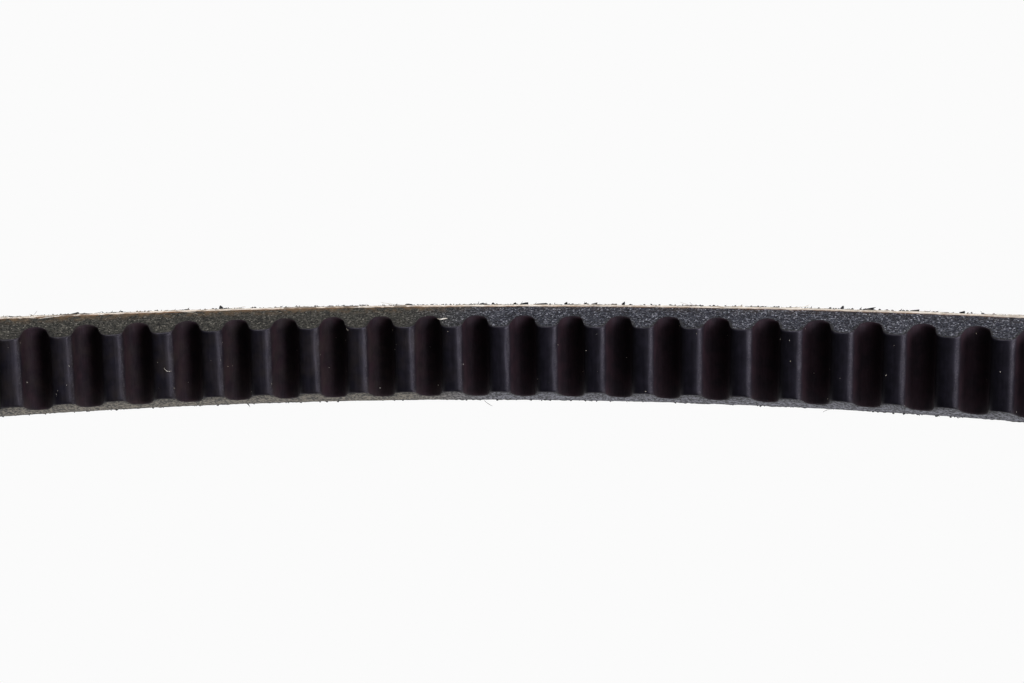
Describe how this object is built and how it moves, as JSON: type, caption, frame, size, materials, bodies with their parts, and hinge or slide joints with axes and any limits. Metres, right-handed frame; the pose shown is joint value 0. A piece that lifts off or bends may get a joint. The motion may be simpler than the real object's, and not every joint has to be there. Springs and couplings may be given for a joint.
{
  "type": "v belt",
  "caption": "Raw-edge V-belt: an endless loop with moulded cogs on its inside and a wedge-shaped section, flexing from round to a long oval.",
  "frame": {"origin": "centre of the loop, half way across the belt's width", "axes": "+Z along the loop's axis, which is a pulley's shaft direction; X and Y across the round loop, the axes that it flattens along"},
  "size_m": [0.327, 0.327, 0.013],
  "materials": {
    "cover": "matte",
    "cord": "matte",
    "gum": "matte",
    "cogs": "satin"
  },
  "bodies": {
    "stretch_1": {"back_cover_1": "cover", "tension_cord_1": "cord", "cushion_gum_1": "gum", "cogged_rubber_1": "cogs"},
    "stretch_2": {"back_cover_2": "cover", "tension_cord_2": "cord", "cushion_gum_2": "gum", "cogged_rubber_2": "cogs"},
    "stretch_3": {"back_cover_3": "cover", "tension_cord_3": "cord", "cushion_gum_3": "gum", "cogged_rubber_3": "cogs"},
    "stretch_4": {"back_cover_4": "cover", "tension_cord_4": "cord", "cushion_gum_4": "gum", "cogged_rubber_4": "cogs"},
    "stretch_5": {"back_cover_5": "cover", "tension_cord_5": "cord", "cushion_gum_5": "gum", "cogged_rubber_5": "cogs"},
    "stretch_6": {"back_cover_6": "cover", "tension_cord_6": "cord", "cushion_gum_6": "gum", "cogged_rubber_6": "cogs"},
    "stretch_7": {"back_cover_7": "cover", "tension_cord_7": "cord", "cushion_gum_7": "gum", "cogged_rubber_7": "cogs"},
    "stretch_8": {"back_cover_8": "cover", "tension_cord_8": "cord", "cushion_gum_8": "gum", "cogged_rubber_8": "cogs"},
    "stretch_9": {"back_cover_9": "cover", "tension_cord_9": "cord", "cushion_gum_9": "gum", "cogged_rubber_9": "cogs"}
  },
  "joints": [
    {"name": "bend_1", "type": "hinge", "parent": "stretch_1", "child": "stretch_2", "pos_m": [0.06237, 0.15057, 0], "axis": [0, 0, 1], "range_deg": [-20, 20], "stiffness_Nm_per_rad": 0.1},
    {"name": "bend_2", "type": "hinge", "parent": "stretch_2", "child": "stretch_3", "pos_m": [0.15057, 0.06237, 0], "axis": [0, 0, 1], "range_deg": [-20, 20], "stiffness_Nm_per_rad": 0.1},
    {"name": "bend_3", "type": "hinge", "parent": "stretch_3", "child": "stretch_4", "pos_m": [0.15057, -0.06237, 0], "axis": [0, 0, 1], "range_deg": [-20, 20], "stiffness_Nm_per_rad": 0.1},
    {"name": "bend_4", "type": "hinge", "parent": "stretch_4", "child": "stretch_5", "pos_m": [0.06237, -0.15057, 0], "axis": [0, 0, 1], "range_deg": [-20, 20], "stiffness_Nm_per_rad": 0.1},
    {"name": "bend_5", "type": "hinge", "parent": "stretch_5", "child": "stretch_6", "pos_m": [-0.06237, -0.15057, 0], "axis": [0, 0, 1], "range_deg": [-20, 20], "stiffness_Nm_per_rad": 0.1},
    {"name": "bend_6", "type": "hinge", "parent": "stretch_1", "child": "stretch_7", "pos_m": [-0.06237, 0.15057, 0], "axis": [0, 0, 1], "range_deg": [-20, 20], "stiffness_Nm_per_rad": 0.1},
    {"name": "bend_7", "type": "hinge", "parent": "stretch_7", "child": "stretch_8", "pos_m": [-0.15057, 0.06237, 0], "axis": [0, 0, 1], "range_deg": [-20, 20], "stiffness_Nm_per_rad": 0.1},
    {"name": "bend_8", "type": "hinge", "parent": "stretch_8", "child": "stretch_9", "pos_m": [-0.15057, -0.06237, 0], "axis": [0, 0, 1], "range_deg": [-20, 20], "stiffness_Nm_per_rad": 0.1}
  ],
  "couplings": [
    {"joint": "bend_2", "follows": "bend_1", "ratio": -1},
    {"joint": "bend_3", "follows": "bend_1", "ratio": -1},
    {"joint": "bend_4", "follows": "bend_1", "ratio": 1},
    {"joint": "bend_5", "follows": "bend_1", "ratio": 1},
    {"joint": "bend_6", "follows": "bend_1", "ratio": -1},
    {"joint": "bend_7", "follows": "bend_1", "ratio": 1},
    {"joint": "bend_8", "follows": "bend_1", "ratio": 1}
  ]
}
